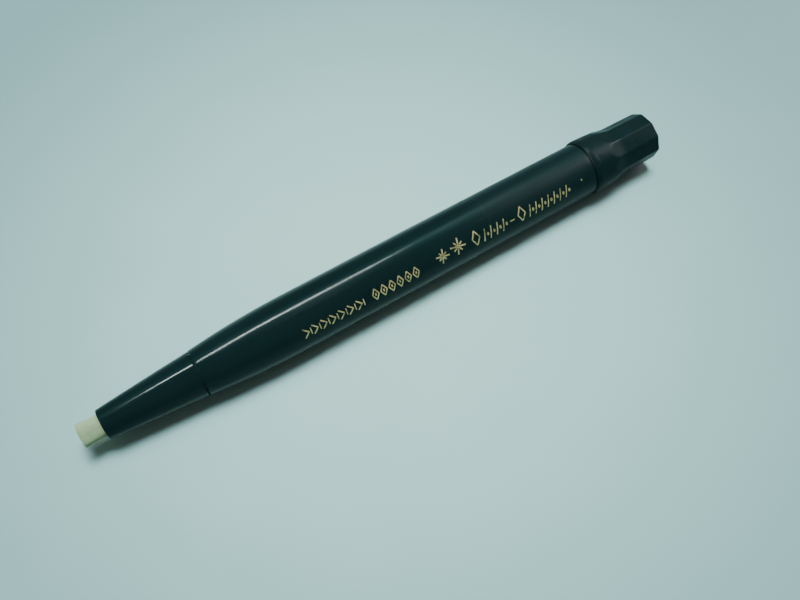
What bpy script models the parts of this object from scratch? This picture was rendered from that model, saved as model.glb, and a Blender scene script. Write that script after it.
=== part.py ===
"""A twist-feed glass-fibre eraser pen, built as an assembly of separate parts.

The pen is modelled along its own axis: local +Z runs from the rim of the nose cone (z = 0) to the twist
knob, and an empty lays the whole pen down on the ground with its tip towards -X and its knob towards +X.
The origin of the world is the middle of the pen's bounding box, at ground level.
"""

import math

import bmesh
import bpy
from mathutils import Matrix, Vector

MM = 0.001

# Refill: a bundle of glass fibres with a binding sleeve round its rear end.
REFILL_RADIUS = 1.97 * MM
REFILL_FLARED_RADIUS = 2.08 * MM
REFILL_FRONT = -3.7 * MM
REFILL_FLARE_END = -1.2 * MM
REFILL_REAR = 34.3 * MM
BAND_FRONT = 27.0 * MM
BAND_THICKNESS = 0.1 * MM

# Nose cone: a slightly crowned cone, with a plain spigot that screws into the barrel.
NOSE_RIM_RADIUS = 2.62 * MM
NOSE_SHOULDER = 16.4 * MM
NOSE_SHOULDER_RADIUS = 3.99 * MM
NOSE_CROWN = 0.04 * MM
NOSE_RIM_ROUNDING = 0.15 * MM
NOSE_EXIT_RADIUS = 2.2 * MM
NOSE_EXIT_END = 3.0 * MM
NOSE_BORE_RADIUS = 2.85 * MM
NOSE_BORE_START = 11.5 * MM
SPIGOT_RADIUS = 3.35 * MM
SPIGOT_END = 23.0 * MM
SPIGOT_CHAMFER = 0.2 * MM
WASHER_GAP = 0.04 * MM
NOSE_WASHER_THICKNESS = 0.22 * MM
NOSE_WASHER_RADIUS = 3.86 * MM

# Barrel: an ogive front, a cylinder, and a slight taper towards the rear.
BARREL_FRONT = 16.7 * MM
BARREL_OGIVE_END = 34.0 * MM
BARREL_OGIVE_ARC = 146.0 * MM
BARREL_RADIUS = 5.1 * MM
BARREL_TAPER_START = 58.0 * MM
BARREL_REAR = 93.7 * MM
BARREL_REAR_RADIUS = 4.9 * MM
BARREL_BORE_RADIUS = 3.5 * MM
BUSH_SEAT_START = 90.0 * MM
BUSH_SEAT_RADIUS = 4.2 * MM

# Rear bush: the shaft's bearing, pressed into the rear of the barrel, with a boss that reaches into the knob.
BUSH_FRONT = 90.05 * MM
BUSH_SPIGOT_RADIUS = 4.12 * MM
BUSH_SPIGOT_REAR = 93.5 * MM
BUSH_BOSS_RADIUS = 3.0 * MM
BUSH_REAR = 95.55 * MM
BEARING_RADIUS = 1.72 * MM

# Twist knob: a raised, tapered skirt that a ten-sided shoulder and grip run out of.
KNOB_FRONT = 93.9 * MM
SKIRT_RADIUS = 5.33 * MM
SKIRT_REAR_RADIUS = 5.0 * MM
SKIRT_REAR = 99.6 * MM
SKIRT_EDGE = 0.35 * MM
SHOULDER_START = 97.0 * MM
SHOULDER_START_RADIUS = 5.2 * MM
SHOULDER_END = 101.8 * MM
SHOULDER_STEPS = 5
KNOB_SIDES = 10
KNOB_CORNER_RADIUS = 4.62 * MM
KNOB_REAR_CORNER_RADIUS = 4.5 * MM
KNOB_REAR = 108.9 * MM
KNOB_END_ROUNDING = 0.3 * MM
KNOB_RECESS_RADIUS = 3.5 * MM
KNOB_RECESS_REAR = 96.95 * MM
KNOB_BORE_RADIUS = 1.68 * MM
KNOB_BORE_REAR = 106.4 * MM
KNOB_FLAT_FROM_DOWN = math.radians(26.9)

# Lead screw: a two-start round thread, left-handed, so that a clockwise turn of the knob feeds the refill.
THREAD_LEAD = 4.0 * MM
THREAD_STARTS = 2
THREAD_FRONT = 48.0 * MM
THREAD_REAR = 72.0 * MM
THREAD_CENTRE_RADIUS = 1.25 * MM
THREAD_RIDGE_RADIUS = 0.4 * MM
THREAD_STEPS_PER_TURN = 12
SCREW_FRONT = 46.0 * MM
SCREW_CORE_RADIUS = 1.2 * MM
SHAFT_FRONT = 74.6 * MM
SHAFT_RADIUS = 1.6 * MM
FLANGE_FRONT = 88.4 * MM
FLANGE_REAR = 89.4 * MM
FLANGE_RADIUS = 2.7 * MM
SHAFT_FLAT_START = 98.0 * MM
SHAFT_FLAT_DISTANCE = 1.2 * MM
SHAFT_REAR = 106.0 * MM
STOP_RING_FRONT = 46.4 * MM
STOP_RING_REAR = 47.2 * MM
STOP_RING_RADIUS = 1.82 * MM

# Guide tube: a brass liner fixed in the barrel, with two slots that keep the carrier from turning. A
# nylon spacer keeps it clear of the nose's spigot.
TUBE_FRONT = 24.4 * MM
TUBE_REAR = 89.9 * MM
TUBE_RADIUS = 3.4 * MM
TUBE_BORE_RADIUS = 3.0 * MM
SLOT_FRONT = 47.6 * MM
SLOT_REAR = 72.6 * MM
SLOT_WIDTH = 1.1 * MM
SPACER_FRONT = 23.4 * MM
SPACER_REAR = 24.3 * MM
SPACER_RADIUS = 3.42 * MM
SPACER_BORE_RADIUS = 2.9 * MM

# Carrier: pushes the refill, and is moved by two pins that run in the thread and in the guide slots.
CARRIER_BOSS_FRONT = 34.6 * MM
CARRIER_BOSS_RADIUS = 2.08 * MM
CARRIER_FRONT = 39.2 * MM
CARRIER_RADIUS = 2.55 * MM
CARRIER_HEAD_FRONT = 62.5 * MM
CARRIER_HEAD_RADIUS = 2.85 * MM
CARRIER_REAR = 69.0 * MM
CARRIER_BORE_START = 40.5 * MM
CARRIER_BORE_RADIUS = 1.95 * MM
PIN_STATION = 66.0 * MM
PIN_RADIUS = 0.42 * MM
PIN_HOLE_RADIUS = 0.5 * MM
PIN_INNER = 1.4 * MM
PIN_OUTER = 3.3 * MM

# Chuck: a slit brass sleeve that grips the refill, closed by a spring ring.
CHUCK_FRONT = 29.4 * MM
CHUCK_REAR = 39.0 * MM
CHUCK_BORE_RADIUS = 2.16 * MM
CHUCK_RADIUS = 2.55 * MM
CHUCK_SLIT_WIDTH = 0.35 * MM
CHUCK_SLIT_LENGTH = 4.8 * MM
CHUCK_RING_FRONT = 30.4 * MM
CHUCK_RING_REAR = 31.3 * MM
CHUCK_RING_BORE_RADIUS = 2.6 * MM
CHUCK_RING_RADIUS = 2.74 * MM

# Washers and spring of the rear bearing.
THRUST_WASHER_FRONT = 89.47 * MM
THRUST_WASHER_REAR = 89.85 * MM
THRUST_WASHER_RADIUS = 2.75 * MM
WASHER_BORE_RADIUS = 1.75 * MM
SPRING_MIDDLE = 95.94 * MM
SPRING_WAVE = 0.14 * MM
SPRING_WAVES = 3
SPRING_THICKNESS = 0.2 * MM
SPRING_BORE_RADIUS = 2.0 * MM
SPRING_RADIUS = 3.05 * MM
FRICTION_WASHER_FRONT = 96.3 * MM
FRICTION_WASHER_REAR = 96.75 * MM
FRICTION_WASHER_RADIUS = 3.1 * MM

# A round part has this many sides, with one side facing down.
SIDES = 24
HALF_SIDE = math.pi / SIDES
# Outer skins are drawn round their true circles, so that the sides are never inside them.
OUTSIDE = 1.0 / math.cos(HALF_SIDE)
MERGE = 0.000001
SHARP_ANGLE = math.radians(25.0)

PEN_FRONT = REFILL_FRONT
PEN_REAR = KNOB_REAR
PEN_MIDDLE = (PEN_FRONT + PEN_REAR) / 2
AXIS_HEIGHT = SKIRT_RADIUS


def clear_scene():
    for old in list(bpy.data.objects):
        bpy.data.objects.remove(old, do_unlink=True)


def new_collection(name):
    collection = bpy.data.collections.new(name)
    bpy.context.scene.collection.children.link(collection)
    return collection


def new_material(name, colour, roughness, metallic=0.0, coat=0.0):
    material = bpy.data.materials.new(name)
    material.use_nodes = True
    shader = material.node_tree.nodes["Principled BSDF"]
    shader.inputs["Base Color"].default_value = (*colour, 1.0)
    shader.inputs["Roughness"].default_value = roughness
    shader.inputs["Metallic"].default_value = metallic
    shader.inputs["Coat Weight"].default_value = coat
    material.diffuse_color = (*colour, 1.0)
    return material


def place(obj, axis, turn=0.0, cutter=False):
    """Put an object on the pen's axis, turned about it."""
    obj.parent = axis
    obj.rotation_euler = (0.0, 0.0, turn)
    if cutter:
        cutters.objects.link(obj)
        obj.hide_render = True
        obj.display_type = "WIRE"
    else:
        parts.objects.link(obj)
    return obj


def turned_mesh(name, profile, closed):
    """The half outline of a turned shape, in the local XZ plane, as (z, radius) points."""
    mesh = bpy.data.meshes.new(name)
    points = [(radius, 0.0, z) for z, radius in profile]
    edges = [(i, i + 1) for i in range(len(points) - 1)]
    if closed:
        edges.append((len(points) - 1, 0))
    mesh.from_pydata(points, edges, [])
    return mesh


def turned(name, outer, inner, material, axis, turn=HALF_SIDE, sides=SIDES, cutter=False):
    """A turned part. outer runs from the rear to the front and inner from the front to the rear; a part
    with no inner outline is solid, and its outer outline starts and ends on the axis."""
    mesh = turned_mesh(name, list(outer) + list(inner), closed=bool(inner))
    obj = place(bpy.data.objects.new(name, mesh), axis, turn, cutter)
    if material:
        mesh.materials.append(material)
    screw = obj.modifiers.new("Turn", "SCREW")
    screw.axis = "Z"
    screw.steps = sides
    screw.render_steps = sides
    screw.use_merge_vertices = True
    screw.merge_threshold = MERGE
    screw.use_smooth_shade = False
    return obj


def ring(name, front, rear, radius, bore, material, axis, **options):
    """A plain tube or washer."""
    return turned(
        name,
        [(rear, radius), (front, radius)],
        [(front, bore), (rear, bore)],
        material,
        axis,
        **options,
    )


def mesh_object(name, shape, material, axis, turn=0.0, cutter=False):
    mesh = bpy.data.meshes.new(name)
    shape.to_mesh(mesh)
    shape.free()
    if material:
        mesh.materials.append(material)
    return place(bpy.data.objects.new(name, mesh), axis, turn, cutter)


def box_cutter(name, size, centre, axis, turn=0.0):
    shape = bmesh.new()
    bmesh.ops.create_cube(shape, size=1.0)
    bmesh.ops.scale(shape, vec=Vector(size), verts=shape.verts)
    bmesh.ops.translate(shape, vec=Vector(centre), verts=shape.verts)
    return mesh_object(name, shape, None, axis, turn, cutter=True)


def cross_cylinder(name, radius, inner, outer, station, material, axis, sides, turn, cutter=False):
    """A cylinder that lies across the pen's axis, from one distance off the axis to another."""
    shape = bmesh.new()
    bmesh.ops.create_cone(
        shape, cap_ends=True, segments=sides, radius1=radius, radius2=radius, depth=outer - inner
    )
    bmesh.ops.transform(shape, matrix=Matrix.Rotation(math.pi / 2, 4, "Y"), verts=shape.verts)
    bmesh.ops.translate(shape, vec=Vector(((inner + outer) / 2, 0.0, station)), verts=shape.verts)
    return mesh_object(name, shape, material, axis, turn, cutter)


def boolean(obj, other, operation):
    modifier = obj.modifiers.new(operation.title(), "BOOLEAN")
    modifier.object = other
    modifier.operation = operation
    modifier.solver = "EXACT"
    return modifier


def points_between(start, end, count):
    """count + 1 evenly spaced values from start to end."""
    return [start + (end - start) * i / count for i in range(count + 1)]


def nose_radius(z):
    """Outer radius of the nose cone: a straight cone with a slight crown."""
    share = z / NOSE_SHOULDER
    cone = NOSE_RIM_RADIUS + (NOSE_SHOULDER_RADIUS - NOSE_RIM_RADIUS) * share
    return cone + NOSE_CROWN * 4 * share * (1 - share)


def barrel_radius(z):
    """Outer radius of the barrel along its ogive, its cylinder and its rear taper."""
    if z < BARREL_OGIVE_END:
        return BARREL_RADIUS - (BARREL_OGIVE_END - z) ** 2 / (2 * BARREL_OGIVE_ARC)
    if z < BARREL_TAPER_START:
        return BARREL_RADIUS
    share = (z - BARREL_TAPER_START) / (BARREL_REAR - BARREL_TAPER_START)
    return BARREL_RADIUS + (BARREL_REAR_RADIUS - BARREL_RADIUS) * share


def build_refill(axis, fibre, sleeve):
    turned(
        "refill_bundle",
        [
            (REFILL_REAR, 0.0),
            (REFILL_REAR, REFILL_RADIUS),
            (REFILL_FLARE_END, REFILL_RADIUS),
            (REFILL_FRONT, REFILL_FLARED_RADIUS),
            (REFILL_FRONT, 0.0),
        ],
        [],
        fibre,
        axis,
    )
    bore = REFILL_RADIUS + 0.03 * MM
    ring("refill_band", BAND_FRONT, REFILL_REAR, bore + BAND_THICKNESS, bore, sleeve, axis)


def build_nose(axis, plastic, rubber):
    rounding = NOSE_RIM_ROUNDING
    cone = [(z, nose_radius(z) * OUTSIDE) for z in points_between(NOSE_SHOULDER, rounding, 6)]
    spigot = [
        (SPIGOT_END, SPIGOT_RADIUS - SPIGOT_CHAMFER),
        (SPIGOT_END - SPIGOT_CHAMFER, SPIGOT_RADIUS),
        (NOSE_SHOULDER, SPIGOT_RADIUS),
    ]
    rim = [(0.0, (NOSE_RIM_RADIUS - rounding) * OUTSIDE)]
    bore = [
        (0.0, NOSE_EXIT_RADIUS),
        (NOSE_EXIT_END, NOSE_EXIT_RADIUS),
        (NOSE_BORE_START, NOSE_BORE_RADIUS),
        (SPIGOT_END, NOSE_BORE_RADIUS),
    ]
    turned("nose_cone", spigot + cone + rim, bore, plastic, axis)
    front = NOSE_SHOULDER + WASHER_GAP
    rear = front + NOSE_WASHER_THICKNESS
    bore_radius = SPIGOT_RADIUS + 0.1 * MM
    ring("nose_washer", front, rear, NOSE_WASHER_RADIUS, bore_radius, rubber, axis)


def build_barrel(axis, plastic):
    stations = [BARREL_REAR, BARREL_TAPER_START]
    stations += points_between(BARREL_OGIVE_END, BARREL_FRONT, 6)
    outer = [(z, barrel_radius(z) * OUTSIDE) for z in stations]
    inner = [
        (BARREL_FRONT, BARREL_BORE_RADIUS),
        (BUSH_SEAT_START, BARREL_BORE_RADIUS),
        (BUSH_SEAT_START, BUSH_SEAT_RADIUS),
        (BARREL_REAR, BUSH_SEAT_RADIUS),
    ]
    turned("barrel", outer, inner, plastic, axis)


def build_rear_bush(axis, plastic):
    outer = [
        (BUSH_REAR, BUSH_BOSS_RADIUS),
        (BUSH_SPIGOT_REAR, BUSH_BOSS_RADIUS),
        (BUSH_SPIGOT_REAR, BUSH_SPIGOT_RADIUS),
        (BUSH_FRONT, BUSH_SPIGOT_RADIUS),
    ]
    inner = [(BUSH_FRONT, BEARING_RADIUS), (BUSH_REAR, BEARING_RADIUS)]
    turned("rear_bush", outer, inner, plastic, axis)


def shoulder_profile():
    """Corner radii of the ten-sided shoulder, which sweeps down from the skirt to the grip in an S."""
    sharpen = 1 / math.cos(math.pi / KNOB_SIDES)
    profile = []
    for share in points_between(1.0, 0.0, SHOULDER_STEPS):
        z = SHOULDER_START + (SHOULDER_END - SHOULDER_START) * share
        drop = share * share * (3 - 2 * share)
        start = SHOULDER_START_RADIUS * sharpen
        profile.append((z, start + (KNOB_CORNER_RADIUS - start) * drop))
    return profile


def build_knob(axis, plastic):
    """A round body is cut to ten sides behind the skirt, and then bored for the shaft and the bush."""
    beyond = 1.0 * MM
    round_body = [
        (KNOB_REAR + beyond, 0.0),
        (KNOB_REAR + beyond, SKIRT_REAR_RADIUS * OUTSIDE),
        (SKIRT_REAR, SKIRT_REAR_RADIUS * OUTSIDE),
        (KNOB_FRONT + SKIRT_EDGE, SKIRT_RADIUS * OUTSIDE),
        (KNOB_FRONT, (SKIRT_RADIUS - SKIRT_EDGE) * OUTSIDE),
        (KNOB_FRONT, 0.0),
    ]
    knob = turned("twist_knob", round_body, [], plastic, axis)
    front_radius = SHOULDER_START_RADIUS / math.cos(math.pi / KNOB_SIDES) + beyond
    ten_sided_body = [
        (KNOB_REAR, 0.0),
        (KNOB_REAR, KNOB_REAR_CORNER_RADIUS - KNOB_END_ROUNDING),
        (KNOB_REAR - KNOB_END_ROUNDING, KNOB_REAR_CORNER_RADIUS),
        *shoulder_profile(),
        (SHOULDER_START - beyond, front_radius),
        (KNOB_FRONT - beyond, front_radius),
        (KNOB_FRONT - beyond, 0.0),
    ]
    turn = KNOB_FLAT_FROM_DOWN + math.pi / KNOB_SIDES
    grip = turned("grip_body", ten_sided_body, [], None, axis, turn, KNOB_SIDES, cutter=True)
    boolean(knob, grip, "INTERSECT")
    bore = [
        (KNOB_BORE_REAR, 0.0),
        (KNOB_BORE_REAR, KNOB_BORE_RADIUS),
        (KNOB_RECESS_REAR, KNOB_BORE_RADIUS),
        (KNOB_RECESS_REAR, KNOB_RECESS_RADIUS),
        (KNOB_FRONT - beyond, KNOB_RECESS_RADIUS),
        (KNOB_FRONT - beyond, 0.0),
    ]
    cutter = turned("shaft_bore", bore, [], None, axis, turn=0.1, cutter=True)
    boolean(knob, cutter, "DIFFERENCE")


def thread_ridge(start, axis):
    """One start of the left-handed thread: a round ridge wound along the screw."""
    turns = (THREAD_REAR - THREAD_FRONT) / THREAD_LEAD
    steps = round(turns * THREAD_STEPS_PER_TURN)
    # A groove, half way between two ridges, lies under each drive pin.
    ridge_station = PIN_STATION - THREAD_LEAD / THREAD_STARTS / 2
    curve = bpy.data.curves.new(f"ridge_{start}", "CURVE")
    curve.dimensions = "3D"
    curve.bevel_depth = THREAD_RIDGE_RADIUS
    curve.bevel_resolution = 1
    curve.use_fill_caps = True
    spline = curve.splines.new("POLY")
    spline.points.add(steps)
    for i, point in enumerate(spline.points):
        z = THREAD_FRONT + (THREAD_REAR - THREAD_FRONT) * i / steps
        angle = -2 * math.pi * (z - ridge_station) / THREAD_LEAD + math.pi / 2
        angle += 2 * math.pi * start / THREAD_STARTS
        x = THREAD_CENTRE_RADIUS * math.cos(angle)
        y = THREAD_CENTRE_RADIUS * math.sin(angle)
        point.co = (x, y, z, 1.0)
    guide = bpy.data.objects.new(f"ridge_curve_{start}", curve)
    bpy.context.scene.collection.objects.link(guide)
    evaluated = guide.evaluated_get(bpy.context.evaluated_depsgraph_get())
    mesh = bpy.data.meshes.new_from_object(evaluated)
    bpy.data.objects.remove(guide)
    shape = bmesh.new()
    shape.from_mesh(mesh)
    bmesh.ops.remove_doubles(shape, verts=shape.verts, dist=MERGE)
    bmesh.ops.recalc_face_normals(shape, faces=shape.faces)
    return mesh_object(f"thread_ridge_{start}", shape, None, axis, cutter=True)


def build_lead_screw(axis, brass, steel):
    tip = 0.4 * MM
    outline = [
        (SHAFT_REAR, 0.0),
        (SHAFT_REAR, SHAFT_RADIUS - 0.2 * MM),
        (SHAFT_REAR - 0.2 * MM, SHAFT_RADIUS),
        (FLANGE_REAR, SHAFT_RADIUS),
        (FLANGE_REAR, FLANGE_RADIUS),
        (FLANGE_FRONT, FLANGE_RADIUS),
        (FLANGE_FRONT, SHAFT_RADIUS),
        (SHAFT_FRONT, SHAFT_RADIUS),
        (SHAFT_FRONT - tip, SCREW_CORE_RADIUS),
        (SCREW_FRONT + tip, SCREW_CORE_RADIUS),
        (SCREW_FRONT, SCREW_CORE_RADIUS - 0.3 * MM),
        (SCREW_FRONT, 0.0),
    ]
    screw = turned("lead_screw", outline, [], brass, axis)
    for start in range(THREAD_STARTS):
        boolean(screw, thread_ridge(start, axis), "UNION")
    flat_length = SHAFT_REAR - SHAFT_FLAT_START + 1.0 * MM
    flat_depth = 2.0 * MM
    flat = box_cutter(
        "shaft_flat",
        (flat_depth, 6.0 * MM, flat_length),
        (-SHAFT_FLAT_DISTANCE - flat_depth / 2, 0.0, SHAFT_FLAT_START + flat_length / 2),
        axis,
    )
    boolean(screw, flat, "DIFFERENCE")
    bore = SCREW_CORE_RADIUS + 0.05 * MM
    ring("stop_ring", STOP_RING_FRONT, STOP_RING_REAR, STOP_RING_RADIUS, bore, steel, axis)


def build_guide_tube(axis, brass, nylon):
    tube = ring("guide_tube", TUBE_FRONT, TUBE_REAR, TUBE_RADIUS, TUBE_BORE_RADIUS, brass, axis)
    middle = (SLOT_FRONT + SLOT_REAR) / 2
    size = (SLOT_WIDTH, 3 * TUBE_RADIUS, SLOT_REAR - SLOT_FRONT)
    boolean(tube, box_cutter("guide_slots", size, (0.0, 0.0, middle), axis), "DIFFERENCE")
    ring(
        "tube_spacer", SPACER_FRONT, SPACER_REAR, SPACER_RADIUS, SPACER_BORE_RADIUS, nylon, axis
    )


def build_carrier(axis, nylon, steel):
    # The outline goes up the bore, which is closed at the front, and comes down the outside.
    outline = [
        (CARRIER_BORE_START, 0.0),
        (CARRIER_BORE_START, CARRIER_BORE_RADIUS),
        (CARRIER_REAR, CARRIER_BORE_RADIUS),
        (CARRIER_REAR, CARRIER_HEAD_RADIUS),
        (CARRIER_HEAD_FRONT, CARRIER_HEAD_RADIUS),
        (CARRIER_HEAD_FRONT - 0.3 * MM, CARRIER_RADIUS),
        (CARRIER_FRONT, CARRIER_RADIUS),
        (CARRIER_FRONT, CARRIER_BOSS_RADIUS),
        (CARRIER_BOSS_FRONT, CARRIER_BOSS_RADIUS),
        (CARRIER_BOSS_FRONT, 0.0),
    ]
    carrier = turned("carrier_tube", outline, [], nylon, axis)
    reach = 4.0 * MM
    holes = cross_cylinder(
        "pin_holes", PIN_HOLE_RADIUS, -reach, reach, PIN_STATION, None, axis, 12, math.pi / 2, True
    )
    boolean(carrier, holes, "DIFFERENCE")
    for side, turn in (("left", math.pi / 2), ("right", -math.pi / 2)):
        cross_cylinder(
            f"drive_pin_{side}", PIN_RADIUS, PIN_INNER, PIN_OUTER, PIN_STATION, steel, axis, 12, turn
        )


def build_chuck(axis, brass, steel):
    chuck = ring("chuck", CHUCK_FRONT, CHUCK_REAR, CHUCK_RADIUS, CHUCK_BORE_RADIUS, brass, axis)
    before = 1.0 * MM
    length = CHUCK_SLIT_LENGTH + before
    centre = (0.0, 0.0, CHUCK_FRONT - before + length / 2)
    for name, turn in (("chuck_slit_a", math.pi / 4), ("chuck_slit_b", -math.pi / 4)):
        slit = box_cutter(name, (CHUCK_SLIT_WIDTH, 3 * CHUCK_RADIUS, length), centre, axis, turn)
        boolean(chuck, slit, "DIFFERENCE")
    ring(
        "chuck_ring",
        CHUCK_RING_FRONT,
        CHUCK_RING_REAR,
        CHUCK_RING_RADIUS,
        CHUCK_RING_BORE_RADIUS,
        steel,
        axis,
    )


def build_wave_spring(axis, steel):
    """A washer whose height goes up and down in waves round the shaft."""
    half = SPRING_THICKNESS / 2
    spring = bmesh.new()
    steps = 12 * SPRING_WAVES
    section = [
        (SPRING_RADIUS, half),
        (SPRING_RADIUS, -half),
        (SPRING_BORE_RADIUS, -half),
        (SPRING_BORE_RADIUS, half),
    ]
    rings = []
    for i in range(steps):
        angle = 2 * math.pi * i / steps
        lift = SPRING_MIDDLE + SPRING_WAVE * math.sin(SPRING_WAVES * angle)
        corners = [(r * math.cos(angle), r * math.sin(angle), lift + dz) for r, dz in section]
        rings.append([spring.verts.new(corner) for corner in corners])
    for i, here in enumerate(rings):
        after = rings[(i + 1) % steps]
        for k in range(len(section)):
            m = (k + 1) % len(section)
            spring.faces.new((here[k], here[m], after[m], after[k]))
    bmesh.ops.recalc_face_normals(spring, faces=spring.faces)
    mesh_object("wave_spring", spring, steel, axis)


def build_washers(axis, steel, nylon):
    ring(
        "thrust_washer",
        THRUST_WASHER_FRONT,
        THRUST_WASHER_REAR,
        THRUST_WASHER_RADIUS,
        WASHER_BORE_RADIUS,
        steel,
        axis,
    )
    ring(
        "friction_washer",
        FRICTION_WASHER_FRONT,
        FRICTION_WASHER_REAR,
        FRICTION_WASHER_RADIUS,
        WASHER_BORE_RADIUS,
        nylon,
        axis,
    )


def joint_axis(name, pen):
    """An empty on the pen's axis that carries the parts of one moving group."""
    empty = bpy.data.objects.new(name, None)
    empty.empty_display_size = 10 * MM
    empty.parent = pen
    parts.objects.link(empty)
    return empty


def build_pen():
    pen = bpy.data.objects.new("pen_axis", None)
    pen.empty_display_size = 10 * MM
    pen.location = (-PEN_MIDDLE, 0.0, AXIS_HEIGHT)
    pen.rotation_euler = (0.0, math.pi / 2, 0.0)
    parts.objects.link(pen)
    knob_axis = joint_axis("knob_axis", pen)
    feed_axis = joint_axis("feed_axis", pen)
    nose_axis = joint_axis("nose_axis", pen)

    green = new_material("green_plastic", (0.006, 0.022, 0.022), 0.12, coat=0.3)
    knob_green = new_material("knob_plastic", (0.007, 0.018, 0.019), 0.3)
    fibre = new_material("glass_fibre", (0.55, 0.62, 0.42), 0.6)
    sleeve = new_material("binding_sleeve", (0.75, 0.75, 0.68), 0.5)
    brass = new_material("brass", (0.72, 0.5, 0.2), 0.3, metallic=1.0)
    steel = new_material("spring_steel", (0.55, 0.56, 0.58), 0.3, metallic=1.0)
    nylon = new_material("nylon", (0.8, 0.79, 0.74), 0.5)
    rubber = new_material("rubber", (0.01, 0.01, 0.011), 0.7)

    build_barrel(pen, green)
    build_rear_bush(pen, green)
    build_guide_tube(pen, brass, nylon)
    build_washers(pen, steel, nylon)
    build_wave_spring(pen, steel)
    build_nose(nose_axis, green, rubber)
    build_knob(knob_axis, knob_green)
    build_lead_screw(knob_axis, brass, steel)
    build_carrier(feed_axis, nylon, steel)
    build_chuck(feed_axis, brass, steel)
    build_refill(feed_axis, fibre, sleeve)


def finish_parts():
    """Turn each part into a plain mesh, smooth where it is round and sharp at its real edges."""
    depsgraph = bpy.context.evaluated_depsgraph_get()
    meshes = [obj for obj in parts.objects if obj.type == "MESH"]
    made = [bpy.data.meshes.new_from_object(obj.evaluated_get(depsgraph)) for obj in meshes]
    for obj, mesh in zip(meshes, made):
        obj.modifiers.clear()
        obj.data = mesh
        mesh.name = obj.name
        mesh.shade_smooth()
        mesh.set_sharp_from_angle(angle=SHARP_ANGLE)


clear_scene()
parts = new_collection("eraser_pen")
cutters = new_collection("cutters")
build_pen()
finish_parts()
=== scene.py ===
"""Looks of the fibre eraser pen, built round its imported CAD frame.

Stations along the pen are in millimetres from the rim of the nose cone, towards the knob. Angles round it
run from straight up (0) towards -Y. Radii, depths and widths are in millimetres too. The material nodes and
the stage work in metres.
"""

import math
import random

import bmesh
import bpy
from mathutils import Matrix, Vector


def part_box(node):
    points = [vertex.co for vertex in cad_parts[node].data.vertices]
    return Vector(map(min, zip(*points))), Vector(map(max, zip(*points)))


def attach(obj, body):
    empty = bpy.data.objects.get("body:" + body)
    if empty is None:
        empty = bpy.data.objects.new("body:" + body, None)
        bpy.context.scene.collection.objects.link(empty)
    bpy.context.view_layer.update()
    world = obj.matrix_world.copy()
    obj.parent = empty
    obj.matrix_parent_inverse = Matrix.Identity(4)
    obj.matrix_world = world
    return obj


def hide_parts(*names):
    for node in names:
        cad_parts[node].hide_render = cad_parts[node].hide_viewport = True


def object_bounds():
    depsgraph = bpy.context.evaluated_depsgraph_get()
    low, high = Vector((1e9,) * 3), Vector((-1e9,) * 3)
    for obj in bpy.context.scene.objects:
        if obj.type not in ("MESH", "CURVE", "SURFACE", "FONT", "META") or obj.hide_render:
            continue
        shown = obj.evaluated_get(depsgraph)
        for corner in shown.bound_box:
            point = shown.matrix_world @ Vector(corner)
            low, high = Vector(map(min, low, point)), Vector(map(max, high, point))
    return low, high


MM = 0.001

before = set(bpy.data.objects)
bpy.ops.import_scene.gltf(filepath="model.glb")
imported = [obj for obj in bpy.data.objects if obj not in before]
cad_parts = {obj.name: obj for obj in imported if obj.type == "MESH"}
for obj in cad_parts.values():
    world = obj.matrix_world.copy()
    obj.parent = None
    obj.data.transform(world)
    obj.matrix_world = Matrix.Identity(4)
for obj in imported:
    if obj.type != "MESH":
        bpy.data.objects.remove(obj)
cad_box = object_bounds()

NOSE_RIM_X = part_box("nose_cone")[0].x
AXIS_Z = (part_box("barrel")[0].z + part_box("barrel")[1].z) / 2
SEGMENTS = 160

# Nose cone
NOSE_SHOULDER = 16.4
NOSE_RIM_R = 2.62
NOSE_SHOULDER_R = 3.99
NOSE_SWELL = 0.16
NOSE_BORE_R = 2.2
SPIGOT_END = 23.0
SPIGOT_R = 3.35
SPIGOT_BORE_R = 2.85

# Barrel
BARREL_FRONT = 16.7
OGIVE_END = 34.0
OGIVE_SPAN = 292.0
TAPER_START = 58.0
CAD_BARREL_REAR = 93.7
BARREL_REAR = 93.84
BARREL_R = 5.1
BARREL_TAPER = 0.2
BARREL_BORE_R = 3.5
BUSH_SEAT = 90.0
BUSH_SEAT_R = 4.2

# Knob
KNOB_FRONT = 93.9
RECESS_END = 96.95
RECESS_R = 3.5
SWEEP_START = 97.0
SWEEP_END = 101.8
SHAFT_BORE_END = 106.4
SHAFT_BORE_R = 1.68
KNOB_REAR = 108.9
KNOB_EDGE = 0.3
KNOB_SIDES = 10
KNOB_TURN = math.radians(26.9)
SKIRT_R = 5.31
SKIRT_TAPER = 0.31
SKIRT_TAPER_START = 94.2
SKIRT_TAPER_END = 99.6
SWEEP_R = 5.2
GRIP_APOTHEM = 4.394
GRIP_TAPER = 0.0161

# Refill
REFILL_TIP = -3.68
CORE_TIP = -3.3
REFILL_R = 1.93
TIP_SPREAD = 0.11
TIP_SPREAD_START = -1.2
TIP_SPREAD_LENGTH = 2.5
STRAND_R = 0.092
STRAND_PITCH = 0.17

# Foil ornament
FOIL_LIFT = 0.012
FOIL_DEPTH = 0.02
FOIL_ARC_R = 5.08


def at(station, radius, angle):
    """The point at a station, a radius and an angle (radians), in the row frame."""
    return Vector(
        (
            NOSE_RIM_X + station * MM,
            -radius * MM * math.sin(angle),
            AXIS_Z + radius * MM * math.cos(angle),
        )
    )


def clamp(value):
    return max(0.0, min(1.0, value))


# ---------------------------------------------------------------- profiles


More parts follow.
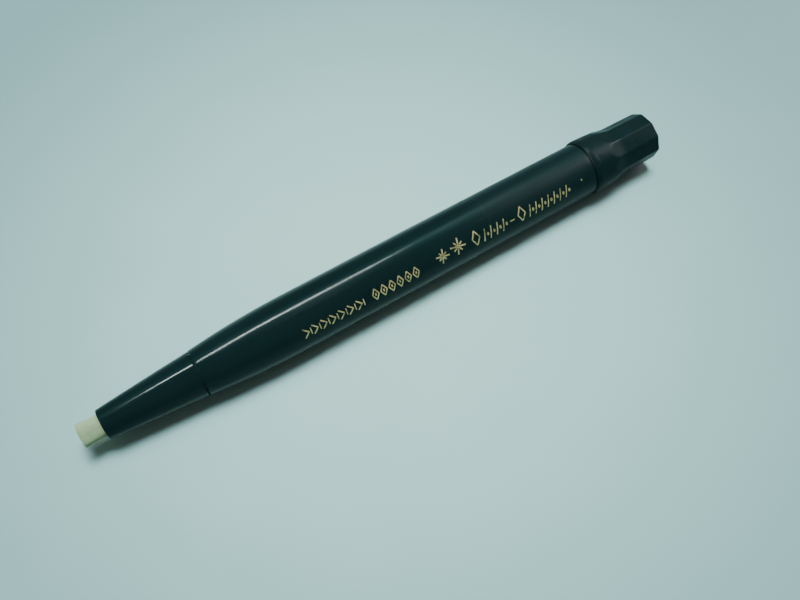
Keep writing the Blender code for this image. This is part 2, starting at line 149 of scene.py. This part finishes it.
def fillet(points, closed=True, steps=5):
    """Round the corners of an outline of (station, radius, rounding) points."""
    out = []
    count = len(points)
    for i, (x, y, rounding) in enumerate(points):
        ends = not closed and i in (0, count - 1)
        if rounding <= 0 or ends:
            out.append((x, y))
            continue
        here = Vector((x, y))
        before = Vector(points[i - 1][:2]) - here
        after = Vector(points[(i + 1) % count][:2]) - here
        cut = min(rounding, before.length * 0.49, after.length * 0.49)
        first = here + before.normalized() * cut
        last = here + after.normalized() * cut
        for k in range(steps + 1):
            t = k / steps
            p = first * (1 - t) ** 2 + here * (2 * t * (1 - t)) + last * t**2
            out.append((p.x, p.y))
    return out


def spread(start, end, count):
    """Evenly spaced values from start to end, both included."""
    return [start + (end - start) * i / count for i in range(count + 1)]


def nose_radius(s):
    """The nose cone's outside: a straight taper with a slight swell."""
    share = s / NOSE_SHOULDER
    return NOSE_RIM_R + (NOSE_SHOULDER_R - NOSE_RIM_R) * share + NOSE_SWELL * share * (1 - share)


def barrel_radius(s):
    """The barrel's outside: an ogive front, a straight middle and a slight taper to the rear."""
    if s < OGIVE_END:
        return BARREL_R - (OGIVE_END - s) ** 2 / OGIVE_SPAN
    share = max(0.0, (s - TAPER_START) / (CAD_BARREL_REAR - TAPER_START))
    return BARREL_R - BARREL_TAPER * share


# ---------------------------------------------------------------- meshes


def new_piece(name, shape, material, body, replaced=(), sharp=35.0):
    """Turn a bmesh into a piece that rides a body, in place of the CAD nodes it replaces."""
    bmesh.ops.recalc_face_normals(shape, faces=shape.faces)
    mesh = bpy.data.meshes.new(name)
    shape.to_mesh(mesh)
    shape.free()
    mesh.materials.append(material)
    mesh.shade_smooth()
    mesh.set_sharp_from_angle(angle=math.radians(sharp))
    piece = bpy.data.objects.new(name, mesh)
    bpy.context.scene.collection.objects.link(piece)
    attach(piece, body)
    if replaced:
        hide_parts(*replaced)


def skin(shape, rings, close_loop=True):
    """Quads between successive rings of vertices."""
    count = len(rings)
    for i in range(count if close_loop else count - 1):
        here, after = rings[i], rings[(i + 1) % count]
        size = len(here)
        for k in range(size):
            m = (k + 1) % size
            shape.faces.new((here[k], here[m], after[m], after[k]))


def rod(shape, rings):
    """A run of rings, with a face over the first and the last."""
    skin(shape, rings, close_loop=False)
    shape.faces.new(rings[0])
    shape.faces.new(rings[-1])


def ring_at(shape, s, radii):
    """A ring of vertices at a station, with a radius for each angle round the axis."""
    count = len(radii)
    return [shape.verts.new(at(s, r, 2 * math.pi * m / count)) for m, r in enumerate(radii)]


def lathe(outline, segments=SEGMENTS):
    """A turned body: outline is a closed loop of (station, radius)."""
    shape = bmesh.new()
    skin(shape, [ring_at(shape, s, [r] * segments) for s, r in outline])
    return shape


def helix_ridge(start, end, lead, radius, height, width, segments=72):
    """A tapered V-shaped thread ridge, wound round the axis and closed at both ends."""
    shape = bmesh.new()
    turns = (end - start) / lead
    steps = int(turns * segments)
    base = radius - 0.05
    rings = []
    for i in range(steps + 1):
        share = i / steps
        angle = 2 * math.pi * turns * share
        s = start + (end - start) * share
        fade = min(1.0, share * turns * 3, (1 - share) * turns * 3)
        top = radius + height * (0.05 + 0.95 * fade)
        corners = [
            (s - width / 2, base),
            (s - width / 6, top),
            (s + width / 6, top),
            (s + width / 2, base),
        ]
        rings.append([shape.verts.new(at(ds, r, angle)) for ds, r in corners])
    rod(shape, rings)
    return shape


# ---------------------------------------------------------------- materials


class Nodes:
    """A small helper to build a material's node tree."""

    def __init__(self, name):
        self.material = bpy.data.materials.new(name)
        self.material.use_nodes = True
        self.tree = self.material.node_tree
        self.shader = self.tree.nodes["Principled BSDF"]
        self.place = self.tree.nodes.new("ShaderNodeTexCoord").outputs["Object"]

    def link(self, source, target):
        self.tree.links.new(source, target)

    def set(self, **values):
        for name, value in values.items():
            self.shader.inputs[name.replace("_", " ")].default_value = value

    def noise(self, scale, detail=4.0, stretch=(1.0, 1.0, 1.0)):
        mapping = self.tree.nodes.new("ShaderNodeMapping")
        mapping.inputs["Scale"].default_value = stretch
        self.link(self.place, mapping.inputs["Vector"])
        node = self.tree.nodes.new("ShaderNodeTexNoise")
        node.inputs["Scale"].default_value = scale
        node.inputs["Detail"].default_value = detail
        node.inputs["Roughness"].default_value = 0.55
        self.link(mapping.outputs["Vector"], node.inputs["Vector"])
        return node.outputs["Fac"]

    def ramp(self, source, low, high, out_low, out_high):
        node = self.tree.nodes.new("ShaderNodeMapRange")
        node.interpolation_type = "SMOOTHSTEP"
        node.inputs["From Min"].default_value = low
        node.inputs["From Max"].default_value = high
        node.inputs["To Min"].default_value = out_low
        node.inputs["To Max"].default_value = out_high
        self.link(source, node.inputs["Value"])
        return node.outputs["Result"]

    def math(self, operation, a, b):
        node = self.tree.nodes.new("ShaderNodeMath")
        node.operation = operation
        for socket, value in zip(node.inputs, (a, b)):
            if isinstance(value, (int, float)):
                socket.default_value = value
            else:
                self.link(value, socket)
        return node.outputs["Value"]

    def mix(self, factor, a, b):
        node = self.tree.nodes.new("ShaderNodeMix")
        node.data_type = "RGBA"
        self.link(factor, node.inputs["Factor"])
        sockets = [s for s in node.inputs if s.type == "RGBA"]
        for socket, value in zip(sockets, (a, b)):
            if isinstance(value, tuple):
                socket.default_value = (*value, 1.0)
            else:
                self.link(value, socket)
        return [s for s in node.outputs if s.type == "RGBA"][0]

    def along(self):
        """The place along the pen, in metres."""
        node = self.tree.nodes.new("ShaderNodeSeparateXYZ")
        self.link(self.place, node.inputs["Vector"])
        return node.outputs["X"]

    def distance(self):
        """The distance from the origin, in metres."""
        node = self.tree.nodes.new("ShaderNodeVectorMath")
        node.operation = "LENGTH"
        self.link(self.place, node.inputs[0])
        return node.outputs["Value"]

    def bump(self, height, strength, distance):
        node = self.tree.nodes.new("ShaderNodeBump")
        node.inputs["Strength"].default_value = strength
        node.inputs["Distance"].default_value = distance
        self.link(height, node.inputs["Height"])
        self.link(node.outputs["Normal"], self.shader.inputs["Normal"])

    def colour(self, source):
        self.link(source, self.shader.inputs["Base Color"])

    def rough(self, source):
        self.link(source, self.shader.inputs["Roughness"])


def green_plastic():
    """Glossy dark green moulded plastic, worn duller where the hand holds it."""
    n = Nodes("green_plastic")
    clouds = n.noise(90.0, 3.0)
    n.colour(n.mix(clouds, (0.0030, 0.0112, 0.0122), (0.0046, 0.0172, 0.0182)))
    hold = n.ramp(n.along(), 0.004, 0.026, 0.0, 0.20)
    smears = n.ramp(n.noise(160.0, 5.0, (0.35, 1.0, 1.0)), 0.35, 0.75, 0.0, 0.07)
    hairs = n.ramp(n.noise(1500.0, 2.0, (0.04, 1.0, 1.0)), 0.58, 0.72, 0.0, 0.06)
    front = n.ramp(n.along(), -0.040, -0.026, 0.085, 0.125)
    n.rough(n.math("ADD", n.math("ADD", front, hold), n.math("ADD", smears, hairs)))
    ripple = n.math("ADD", n.noise(420.0, 2.0), n.math("MULTIPLY", hairs, 1.2))
    n.bump(ripple, 0.10, 0.00004)
    n.set(Specular_IOR_Level=0.09)
    return n.material


def knob_plastic():
    """The knob's plastic is the same green, but rubbed to a satin finish."""
    n = Nodes("knob_plastic")
    clouds = n.noise(140.0, 4.0)
    n.colour(n.mix(clouds, (0.0034, 0.0116, 0.0124), (0.0054, 0.0170, 0.0180)))
    rub = n.ramp(n.noise(300.0, 5.0, (0.5, 1.0, 1.0)), 0.3, 0.75, 0.26, 0.44)
    n.rough(rub)
    n.bump(n.noise(1100.0, 3.0), 0.12, 0.00003)
    n.set(Specular_IOR_Level=0.045)
    return n.material


def fibre():
    """Bound glass fibre: pale cream green, streaked along its length."""
    n = Nodes("glass_fibre")
    streaks = n.noise(2600.0, 3.0, (0.03, 1.0, 1.0))
    pale = n.mix(streaks, (0.22, 0.36, 0.18), (0.34, 0.49, 0.30))
    grime = n.ramp(n.noise(500.0, 4.0), 0.45, 0.75, 0.0, 0.35)
    n.colour(n.mix(grime, pale, (0.13, 0.22, 0.12)))
    n.rough(n.ramp(streaks, 0.3, 0.7, 0.45, 0.75))
    n.bump(streaks, 0.3, 0.00005)
    n.set(Subsurface_Weight=0.25, Subsurface_Scale=0.0008, Specular_IOR_Level=0.25)
    n.set(Subsurface_Radius=(1.0, 1.0, 0.7))
    return n.material


def gold_foil():
    """Hot-stamped gold foil, rubbed thin in places."""
    n = Nodes("gold_foil")
    worn = n.ramp(n.noise(1500.0, 5.0), 0.42, 0.66, 0.0, 0.75)
    tone = n.mix(n.noise(420.0, 2.0), (0.45, 0.43, 0.17), (0.62, 0.60, 0.30))
    n.colour(n.mix(worn, tone, (0.10, 0.12, 0.06)))
    n.rough(n.ramp(n.noise(900.0, 3.0), 0.3, 0.7, 0.32, 0.6))
    n.bump(n.noise(2400.0, 3.0), 0.25, 0.00002)
    n.set(Metallic=0.6)
    return n.material


def metal(name, dark, light, low, high):
    """Turned metal, with fine tool lines round the axis."""
    n = Nodes(name)
    n.colour(n.mix(n.noise(260.0, 4.0), dark, light))
    turned = n.noise(900.0, 2.0, (1.0, 0.02, 0.02))
    n.rough(n.ramp(turned, 0.3, 0.7, low, high))
    n.bump(turned, 0.15, 0.00002)
    n.set(Metallic=1.0)
    return n.material


def moulded(name, dark, light, low, high, grain=700.0, shine=0.25):
    """A plain moulded or wound material with a fine grain."""
    n = Nodes(name)
    n.colour(n.mix(n.noise(200.0, 4.0), dark, light))
    n.rough(n.ramp(n.noise(grain * 0.6, 4.0), 0.3, 0.7, low, high))
    n.bump(n.noise(grain, 3.0), 0.2, 0.00003)
    n.set(Specular_IOR_Level=shine)
    return n.material


def floor_material():
    """Pale card, with painted light falloff: its colour darkens with distance from its middle, as the
    photograph does.
    """
    n = Nodes("floor")
    middle = n.mix(n.noise(3.0, 4.0), (0.322, 0.612, 0.592), (0.336, 0.632, 0.612))
    # Painted light falloff: the card's colour darkens with distance from the origin, standing in for a pool
    # of light.
    painted_falloff = n.ramp(n.distance(), 0.010, 0.105, 0.0, 1.0)
    n.colour(n.mix(painted_falloff, middle, (0.150, 0.318, 0.330)))
    n.rough(n.ramp(n.noise(60.0, 3.0), 0.3, 0.7, 0.55, 0.65))
    n.bump(n.noise(900.0, 3.0), 0.05, 0.00003)
    n.set(Specular_IOR_Level=0.25)
    return n.material


GREEN = green_plastic()
KNOB = knob_plastic()
FIBRE = fibre()
FOIL = gold_foil()
BRASS = metal("brass", (0.62, 0.42, 0.14), (0.80, 0.60, 0.28), 0.22, 0.42)
STEEL = metal("spring_steel", (0.42, 0.43, 0.45), (0.62, 0.63, 0.65), 0.2, 0.38)
NYLON = moulded("nylon", (0.66, 0.65, 0.58), (0.82, 0.81, 0.75), 0.4, 0.6)
RUBBER = moulded("rubber", (0.003, 0.010, 0.010), (0.006, 0.017, 0.017), 0.6, 0.85, shine=0.015)
SLEEVE = moulded("binding_sleeve", (0.6, 0.6, 0.5), (0.8, 0.8, 0.7), 0.5, 0.75, 1500.0)

CAD_MATERIALS = {
    "rear_bush": GREEN,
    "guide_tube": BRASS,
    "lead_screw": BRASS,
    "chuck": BRASS,
    "stop_ring": STEEL,
    "thrust_washer": STEEL,
    "wave_spring": STEEL,
    "drive_pin_left": STEEL,
    "drive_pin_right": STEEL,
    "chuck_ring": STEEL,
    "tube_spacer": NYLON,
    "friction_washer": NYLON,
    "carrier_tube": NYLON,
    "refill_band": SLEEVE,
}


def dress_cad_nodes():
    """Give the CAD pieces that are shown as they are their materials."""
    for node, material in CAD_MATERIALS.items():
        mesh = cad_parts[node].data
        mesh.materials.clear()
        mesh.materials.append(material)


# ---------------------------------------------------------------- body


def build_nose():
    cone = [(s, nose_radius(s), 0.0) for s in spread(15.6, 0.6, 24)]
    outline = (
        [(SPIGOT_END, SPIGOT_R, 0.2), (NOSE_SHOULDER, SPIGOT_R, 0.1)]
        + [(NOSE_SHOULDER, NOSE_SHOULDER_R, 0.02)]
        + cone
        + [(0.0, NOSE_RIM_R, 0.32), (0.0, NOSE_BORE_R, 0.12)]
        + [(3.0, NOSE_BORE_R, 0.3), (11.5, SPIGOT_BORE_R, 0.3), (SPIGOT_END, SPIGOT_BORE_R, 0.1)]
    )
    shape = lathe(fillet(outline))
    new_piece("nose_shell", shape, GREEN, "nose", ["nose_cone"])
    ridge = helix_ridge(17.4, 22.4, lead=1.0, radius=SPIGOT_R, height=0.1, width=0.62)
    new_piece("nose_thread", ridge, GREEN, "nose", sharp=50.0)


def build_washer():
    front, rear, inner, outer = 16.42, 16.68, 3.45, 3.97
    outline = [(front, inner, 0.05), (rear, inner, 0.05), (rear, outer, 0.01), (front, outer, 0.01)]
    shape = lathe(fillet(outline))
    new_piece("seam_washer", shape, RUBBER, "nose_seat", ["nose_washer"])


def build_barrel():
    outer = [(s, barrel_radius(s), 0.0) for s in spread(92.9, 17.2, 90)]
    outline = (
        [(BARREL_REAR, BUSH_SEAT_R, 0.1), (BARREL_REAR, barrel_radius(CAD_BARREL_REAR), 0.06)]
        + outer
        + [(BARREL_FRONT, barrel_radius(BARREL_FRONT), 0.03), (BARREL_FRONT, BARREL_BORE_R, 0.1)]
        + [(BUSH_SEAT, BARREL_BORE_R, 0.0), (BUSH_SEAT, BUSH_SEAT_R, 0.0)]
    )
    shape = lathe(fillet(outline))
    new_piece("barrel_shell", shape, GREEN, "barrel", ["barrel"])


def smooth_min(a, b, width):
    """The lesser of two values, blended over a width where they are close."""
    h = clamp(0.5 + 0.5 * (b - a) / width)
    return b * (1 - h) + a * h - width * h * (1 - h)


def grip_apothem(s):
    """Distance from the axis to a facet of the grip."""
    return GRIP_APOTHEM - GRIP_TAPER * (s - SWEEP_END)


def knob_apothem(s):
    """Distance from the axis to a facet, which sweeps up from the grip to the round skirt in an S."""
    if s >= SWEEP_END:
        return grip_apothem(s)
    share = clamp((s - SWEEP_START) / (SWEEP_END - SWEEP_START))
    drop = share * share * (3 - 2 * share)
    return SWEEP_R + (GRIP_APOTHEM - SWEEP_R) * drop


def skirt_radius(s):
    """The skirt's round outside, which narrows a little towards the rear."""
    share = max(0.0, s - SKIRT_TAPER_START) / (SKIRT_TAPER_END - SKIRT_TAPER_START)
    return SKIRT_R - SKIRT_TAPER * share


def knob_radius(s, angle):
    """The lesser of the round skirt and the ten-sided body, with softened edges."""
    pitch = 2 * math.pi / KNOB_SIDES
    off = (angle - KNOB_TURN + pitch / 2) % pitch - pitch / 2
    apothem = knob_apothem(s)
    facet = apothem / math.cos(off)
    corner = apothem / math.cos(pitch / 2)
    facet = smooth_min(facet, corner - 0.015, 0.06)
    return smooth_min(skirt_radius(s), facet, 0.05)


def build_knob():
    shape = bmesh.new()
    count = KNOB_SIDES * 36
    angles = [2 * math.pi * m / count for m in range(count)]
    mouth = [
        (KNOB_FRONT, RECESS_R, 0.0),
        (KNOB_FRONT, 4.96, 0.05),
        (94.15, 5.19, 0.25),
        (94.75, 5.28, 0.35),
        (95.3, 5.25, 0.0),
    ]
    rings = [ring_at(shape, s, [r] * count) for s, r in fillet(mouth, closed=False, steps=8)]
    edge_start = KNOB_REAR - KNOB_EDGE
    for s in spread(95.4, edge_start, 110):
        rings.append(ring_at(shape, s, [knob_radius(s, a) for a in angles]))
    # The rear edge is rounded, and the rear end is flat.
    rim = [knob_radius(edge_start, a) for a in angles]
    for k in range(1, 9):
        turn = math.pi / 2 * k / 8
        inset = KNOB_EDGE * (1 - math.cos(turn))
        rings.append(ring_at(shape, edge_start + KNOB_EDGE * math.sin(turn), [r - inset for r in rim]))
    for share in (0.75, 0.5, 0.25):
        rings.append(ring_at(shape, KNOB_REAR, [(r - KNOB_EDGE) * share for r in rim]))
    # The shaft's bore and the recess for the bush, from the bottom to the mouth.
    inside = [
        (SHAFT_BORE_END, 0.8),
        (SHAFT_BORE_END, SHAFT_BORE_R),
        (RECESS_END, SHAFT_BORE_R),
        (RECESS_END, RECESS_R),
    ]
    bore = [ring_at(shape, s, [r] * count) for s, r in inside]
    skin(shape, rings, close_loop=False)
    skin(shape, [*bore, rings[0]], close_loop=False)
    for ring, s in ((rings[-1], KNOB_REAR), (bore[0], SHAFT_BORE_END)):
        centre = shape.verts.new(at(s, 0.0, 0.0))
        for m in range(count):
            shape.faces.new((ring[m], ring[(m + 1) % count], centre))
    new_piece("knob_shell", shape, KNOB, "knob", ["twist_knob"], 60.0)


# ---------------------------------------------------------------- refill


def refill_radius(s):
    """The bundle's outer radius: it spreads a little at the tip."""
    return REFILL_R + TIP_SPREAD * clamp((TIP_SPREAD_START - s) / TIP_SPREAD_LENGTH)


def add_strand(shape, along, across, angle):
    """One bound strand: a thin six-sided rod with a narrowed front end."""
    side = (at(0.0, 1.0, angle) - at(0.0, 0.0, angle)).normalized()
    other = side.cross(Vector((1.0, 0.0, 0.0)))
    rings = []
    for i, s in enumerate(along):
        centre = at(s, across * refill_radius(s) / REFILL_R, angle)
        size = STRAND_R * 0.55 if i == 0 else STRAND_R
        ring = []
        for k in range(6):
            turn = 2 * math.pi * k / 6
            offset = side * math.cos(turn) + other * math.sin(turn)
            ring.append(shape.verts.new(centre + offset * size * MM))
        rings.append(ring)
    rod(shape, rings)


def build_refill():
    rng = random.Random(7)
    shape = bmesh.new()
    # Two outer rows of strands run the whole length; the inner rows only show at the tip.
    outer = 1.87
    to_rear = [-2.6, -1.2, 0.0, 34.0]
    to_core = [-2.6, -1.6]
    rows = [(outer, to_rear), (outer - 0.15, to_rear)]
    radius = outer - 0.30
    while radius > 0.1:
        rows.append((radius, to_core))
        radius -= 0.155
    for across, stations in rows:
        count = max(1, round(2 * math.pi * across / STRAND_PITCH))
        shift = rng.random()
        for k in range(count):
            angle = 2 * math.pi * (k + shift + 0.16 * rng.random()) / count
            tip = REFILL_TIP + 0.10 * rng.random() ** 2
            add_strand(shape, [tip, tip + 0.06, *stations], across, angle)
    new_piece("refill_strands", shape, FIBRE, "feed", sharp=70.0)
    core = [
        (34.2, 1.82, 0.1),
        (-0.9, 1.82, 0.0),
        (CORE_TIP, 1.9, 0.1),
        (CORE_TIP, 0.05, 0.0),
        (34.2, 0.05, 0.0),
    ]
    shape = lathe(fillet(core), 96)
    new_piece("refill_core", shape, FIBRE, "feed", ["refill_bundle"])


# ---------------------------------------------------------------- foil ornament


def stroke(shape, start, end, width):
    """One foil stroke from start to end, as (station, arc length from straight up) in millimetres."""
    a, b = Vector(start), Vector(end)
    run = b - a
    side = Vector((-run.y, run.x)).normalized() * width / 2
    corners = ((side, -FOIL_DEPTH), (side, FOIL_LIFT), (-side, FOIL_LIFT), (-side, -FOIL_DEPTH))
    steps = max(2, int(run.length / 0.25))
    rings = []
    for i in range(steps + 1):
        ring = []
        for offset, lift in corners:
            p = a + run * i / steps + offset
            radius = barrel_radius(p.x)
            ring.append(shape.verts.new(at(p.x, radius + lift, p.y / radius)))
        rings.append(ring)
    rod(shape, rings)


def polyline(shape, points, width):
    """Strokes from each point to the next."""
    for start, end in zip(points, points[1:]):
        stroke(shape, start, end, width)


def lozenge(shape, s, arc, half_length, half_height, width):
    """An open lozenge round a station and an arc length."""
    front, rear = (s - half_length, arc), (s + half_length, arc)
    upper, lower = (s, arc - half_height), (s, arc + half_height)
    polyline(shape, [front, upper, rear, lower, front], width)


def slanted(shape, s, low, high, width, lean):
    """A bar across the border, leaning by a length along the pen."""
    stroke(shape, (s - lean / 2, low), (s + lean / 2, high), width)


def arc_of(degrees_from_top):
    """The arc length on the barrel for an angle from straight up."""
    return FOIL_ARC_R * math.radians(degrees_from_top)


def build_chevrons():
    """A short border of chevrons, with a bar after each."""
    shape = bmesh.new()
    low, high = arc_of(65.5), arc_of(46.0)
    middle = (low + high) / 2
    first, pitch = 34.7, 1.66
    for k in range(7):
        s = first + pitch * k
        polyline(shape, [(s - 0.55, high), (s + 0.35, middle), (s - 0.55, low)], 0.22)
        slanted(shape, s + 0.75, low - 0.25, high + 0.25, 0.17, 0.0)
    new_piece("foil_chevrons", shape, FOIL, "barrel", sharp=30.0)


def build_lozenges():
    """A row of open lozenges, each with a short bar in it."""
    shape = bmesh.new()
    low, high = arc_of(65.0), arc_of(41.5)
    middle = (low + high) / 2
    first, pitch = 47.75, 1.58
    for k in range(6):
        s = first + pitch * k
        lozenge(shape, s, middle, 0.60, (low - high) / 2, 0.21)
        stroke(shape, (s, middle - 0.25), (s, middle + 0.25), 0.26)
    new_piece("foil_lozenges", shape, FOIL, "barrel", sharp=30.0)


def build_rosettes():
    """A pair of eight-rayed rosettes."""
    shape = bmesh.new()
    for s, arc, size in ((61.1, arc_of(50.0), 1.3), (64.3, arc_of(46.5), 1.5)):
        centre = Vector((s, arc))
        for ray in range(8):
            turn = math.pi * ray / 4 + 0.2
            direction = Vector((math.cos(turn), math.sin(turn)))
            reach = 1.0 if ray % 2 == 0 else 0.72
            stroke(shape, centre + direction * size * 0.28, centre + direction * size * reach, 0.26)
        lozenge(shape, s, arc, 0.3, 0.3, 0.22)
    new_piece("foil_rosettes", shape, FOIL, "barrel", sharp=30.0)


def build_bars():
    """A long border: tall lozenges lead runs of slanted bars and dots, with a dash and a last dot."""
    shape = bmesh.new()
    low, high, tall = arc_of(65.0), arc_of(40.0), arc_of(34.0)
    middle = (low + high) / 2
    pitch = 1.32
    for start, bars in ((67.9, 4), (77.5, 7)):
        lozenge(shape, start, (low + tall) / 2, 0.75, (low - tall) / 2, 0.22)
        for k in range(bars):
            s = start + 1.75 + pitch * k
            slanted(shape, s, low, high, 0.21, 0.5)
            lozenge(shape, s + pitch / 2, middle, 0.16, 0.3, 0.16)
    stroke(shape, (75.0, middle), (75.9, middle), 0.22)
    lozenge(shape, 90.7, arc_of(46.0), 0.11, 0.11, 0.09)
    new_piece("foil_bars", shape, FOIL, "barrel", sharp=30.0)


# ---------------------------------------------------------------- stage

FLOOR_SIZE = 2.0
FLOOR_GAP = 0.0001
HORIZON = (0.250, 0.330, 0.330, 1.0)
OVERHEAD = (0.134, 0.116, 0.104, 1.0)
WHITE = (1.0, 1.0, 1.0)


def build_floor():
    shape = bmesh.new()
    bmesh.ops.create_grid(shape, x_segments=8, y_segments=8, size=FLOOR_SIZE)
    drop = Vector((0.0, 0.0, cad_box[0].z - FLOOR_GAP))
    bmesh.ops.translate(shape, vec=drop, verts=shape.verts)
    mesh = bpy.data.meshes.new("floor")
    shape.to_mesh(mesh)
    shape.free()
    mesh.materials.append(floor_material())
    floor = bpy.data.objects.new("floor", mesh)
    bpy.context.scene.collection.objects.link(floor)


def build_world():
    """Dim surroundings, a little lighter near the horizon."""
    world = bpy.data.worlds.new("studio")
    bpy.context.scene.world = world
    world.use_nodes = True
    tree = world.node_tree
    direction = tree.nodes.new("ShaderNodeSeparateXYZ")
    generated = tree.nodes.new("ShaderNodeTexCoord").outputs["Generated"]
    tree.links.new(generated, direction.inputs["Vector"])
    height = tree.nodes.new("ShaderNodeMapRange")
    height.inputs["From Min"].default_value = 0.05
    height.inputs["From Max"].default_value = 0.30
    tree.links.new(direction.outputs["Z"], height.inputs["Value"])
    sky = tree.nodes.new("ShaderNodeMixRGB")
    sky.inputs["Color1"].default_value = HORIZON
    sky.inputs["Color2"].default_value = OVERHEAD
    tree.links.new(height.outputs["Result"], sky.inputs["Fac"])
    tree.links.new(sky.outputs["Color"], tree.nodes["Background"].inputs["Color"])
    tree.nodes["Background"].inputs["Strength"].default_value = 1.0


def add_light(name, place, target, size, power, colour, diffuse=True, glossy=True):
    """A rectangular light in metres and watts, aimed at a target."""
    data = bpy.data.lights.new(name, "AREA")
    data.shape = "RECTANGLE"
    data.size, data.size_y = size
    data.energy = power
    data.color = colour
    light = bpy.data.objects.new(name, data)
    bpy.context.scene.collection.objects.link(light)
    light.location = place
    aim = Vector(target) - Vector(place)
    light.rotation_euler = aim.to_track_quat("-Z", "Y").to_euler()
    light.visible_diffuse = diffuse
    light.visible_glossy = glossy


def add_reflection(name, place, target, size, power, colour):
    """A light that is only seen in reflections."""
    add_light(name, place, target, size, power, colour, diffuse=False)


def build_lights():
    # The ceiling light makes the shading and the shadow.
    add_light("ceiling", (0.144, 0.158, 1.2), (0.0, -0.005, 0.0), (0.4, 0.4), 26.8, WHITE, glossy=False)
    # The lamp makes the sharp highlight on the front half, the glow and the haze the sheen on the rear half.
    add_reflection("lamp", (-0.005, 0.46, 1.0), (-0.005, 0, 0), (0.55, 0.085), 19.6, (0.84, 1.0, 0.96))
    add_reflection("glow", (0.42, 0.46, 1.0), (0, 0, 0), (0.42, 0.30), 1.0, (0.4, 1.0, 0.98))
    # These two hardly show from the photograph's angle; they give the plastic its gloss from the sides.
    add_reflection("front_side", (-0.9, 0.0, 0.7), (0, 0, 0), (0.5, 0.5), 18.0, WHITE)
    add_reflection("rear_side", (0.9, 0.0, 0.7), (0, 0, 0), (0.5, 0.5), 18.0, WHITE)
    add_reflection("haze", (0.15, 0.50, 1.0), (0, 0, 0), (1.5, 0.62), 3.8, (0.22, 1.0, 0.98))


def build_camera():
    """The photograph's camera, found by fitting the pen's outlines and ring edges."""
    data = bpy.data.cameras.new("camera")
    data.sensor_width = 36.0
    data.lens = 37.98
    data.clip_start = 0.01
    camera = bpy.data.objects.new("camera", data)
    bpy.context.scene.collection.objects.link(camera)
    forward = Vector((0.2411, 0.3912, -0.8882)).normalized()
    up = Vector((0.8513, -0.5247, 0.0)).cross(forward).normalized()
    right = forward.cross(up).normalized()
    turn = Matrix((right, up, -forward)).transposed().to_4x4()
    place = Vector((NOSE_RIM_X + 16.95 * MM, -61.66 * MM, AXIS_Z + 127.02 * MM))
    camera.matrix_world = Matrix.Translation(place) @ turn
    bpy.context.scene.camera = camera


dress_cad_nodes()
build_nose()
build_washer()
build_barrel()
build_knob()
build_refill()
build_chevrons()
build_lozenges()
build_rosettes()
build_bars()
build_floor()
build_world()
build_lights()
build_camera()

bpy.context.view_layer.update()
